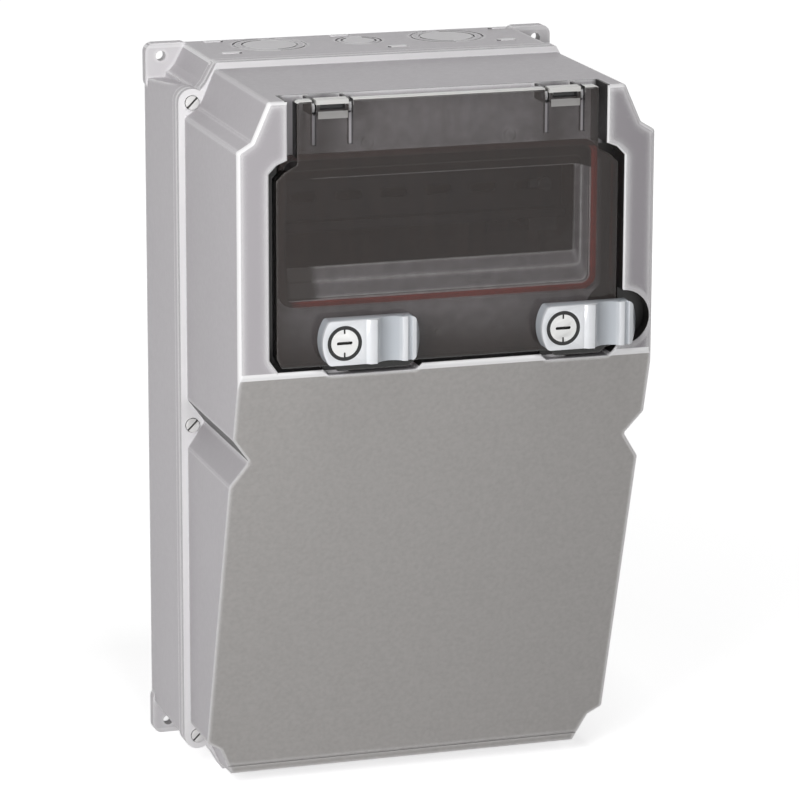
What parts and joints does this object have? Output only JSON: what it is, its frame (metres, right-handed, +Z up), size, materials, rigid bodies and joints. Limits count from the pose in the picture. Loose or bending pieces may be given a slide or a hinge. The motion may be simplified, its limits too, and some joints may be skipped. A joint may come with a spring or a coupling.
{
  "type": "consumer unit",
  "caption": "Wall-mounted weatherproof consumer unit: back box, deep hood with sloping blank lower panel, smoked hinged window with turn latches over one row of modules",
  "frame": {"origin": "middle of the back face that lies on the wall", "axes": "+Z up the wall, -Y out of the wall towards the user, +X to the right seen from the front"},
  "size_m": [0.23, 0.193, 0.389],
  "materials": {
    "shell_grey": "fine moulded texture",
    "window_smoke": "smoked clear",
    "latch_pale": "gloss",
    "screw_pale": "satin",
    "foot_plastic": "moulded",
    "seal_black": "matt",
    "seal_red": "matt",
    "zinc_steel": "zinc plated",
    "brass": "turned"
  },
  "bodies": {
    "enclosure": {"base_box": "shell_grey", "front_cover": "shell_grey", "cover_gasket": "seal_black", "window_gasket": "seal_red", "hinge_pin_left": "zinc_steel", "hinge_pin_right": "zinc_steel", "cover_screws": "screw_pale", "screw_inserts": "brass", "din_rail": "zinc_steel", "rail_bracket_left": "zinc_steel", "rail_bracket_right": "zinc_steel", "rail_screws": "zinc_steel", "post_screws": "zinc_steel", "terminal_foot_left": "foot_plastic", "terminal_foot_right": "foot_plastic", "earth_bar": "brass", "neutral_bar": "brass", "earth_screws": "zinc_steel", "neutral_screws": "zinc_steel"},
    "window_leaf": {"window": "window_smoke"},
    "latch_left": {"latch_handle_left": "latch_pale", "latch_spindle_left": "latch_pale", "latch_seal_left": "seal_black", "latch_cam_left": "zinc_steel"},
    "latch_right": {"latch_handle_right": "latch_pale", "latch_spindle_right": "latch_pale", "latch_seal_right": "seal_black", "latch_cam_right": "zinc_steel"}
  },
  "joints": [
    {"name": "window_hinge", "type": "hinge", "parent": "enclosure", "child": "window_leaf", "pos_m": [0, -0.1755, 0.187], "axis": [-1, 0, 0], "range_deg": [0, 120]},
    {"name": "latch_left_turn", "type": "hinge", "parent": "window_leaf", "child": "latch_left", "pos_m": [-0.0588, -0.181, 0.0675], "axis": [0, -1, 0], "range_deg": [0, 90]},
    {"name": "latch_right_turn", "type": "hinge", "parent": "window_leaf", "child": "latch_right", "pos_m": [0.0588, -0.181, 0.0675], "axis": [0, -1, 0], "range_deg": [0, 90]}
  ]
}
